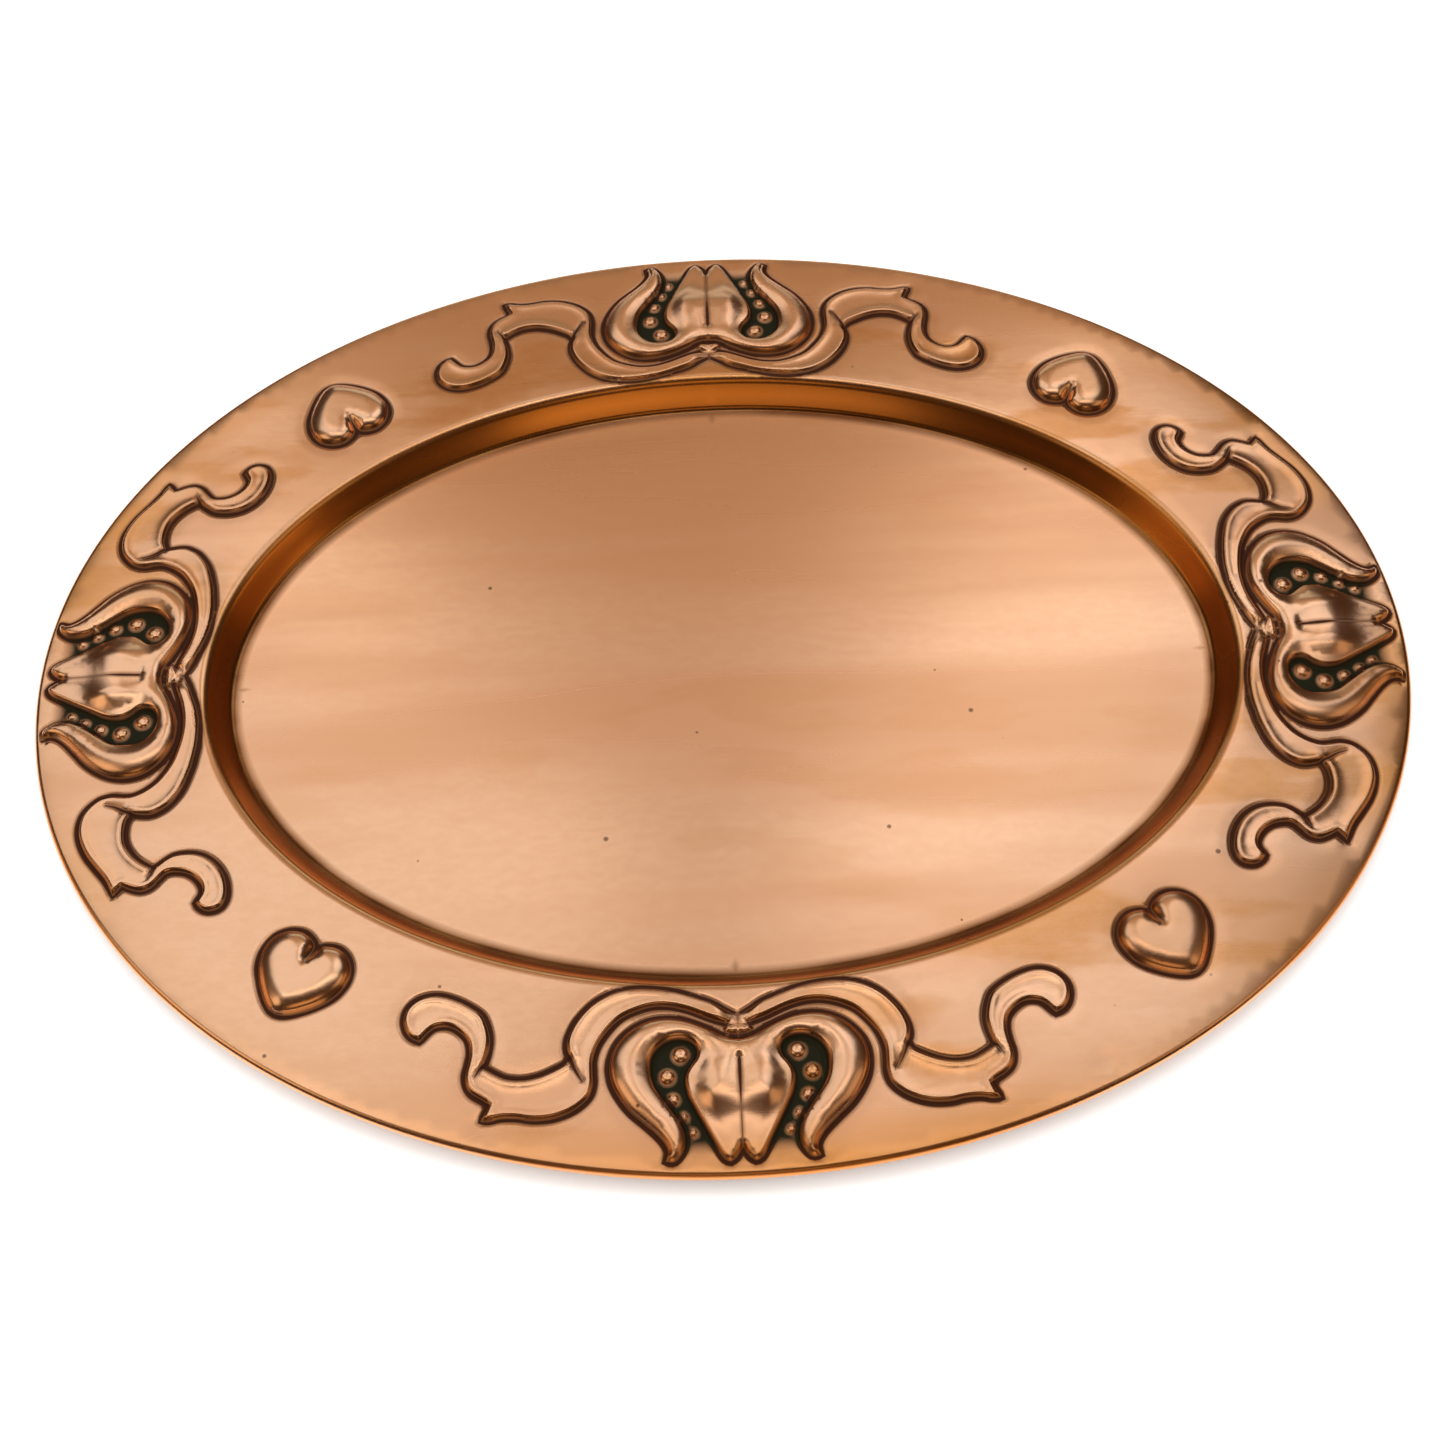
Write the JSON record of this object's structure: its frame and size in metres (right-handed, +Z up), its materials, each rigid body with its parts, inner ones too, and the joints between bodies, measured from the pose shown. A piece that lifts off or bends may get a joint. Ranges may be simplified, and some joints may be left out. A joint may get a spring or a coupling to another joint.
{
  "type": "copper tray",
  "caption": "Oval copper serving tray with a plain shallow well and a wide flange carrying raised tulips, ribbons and hearts; its edge is rolled over a wire.",
  "frame": {"origin": "middle of the floor's underside, on the surface that the tray rests on", "axes": "+X along the tray's length, +Y across its width, +Z up out of the well"},
  "size_m": [0.6, 0.47, 0.0209],
  "materials": {
    "copper_sheet": "satin polished copper, dark brown patina in the chased lines",
    "iron_wire": "dull drawn iron wire"
  },
  "bodies": {
    "root": {"tray_sheet": "copper_sheet", "rim_wire": "iron_wire"}
  },
  "joints": []
}
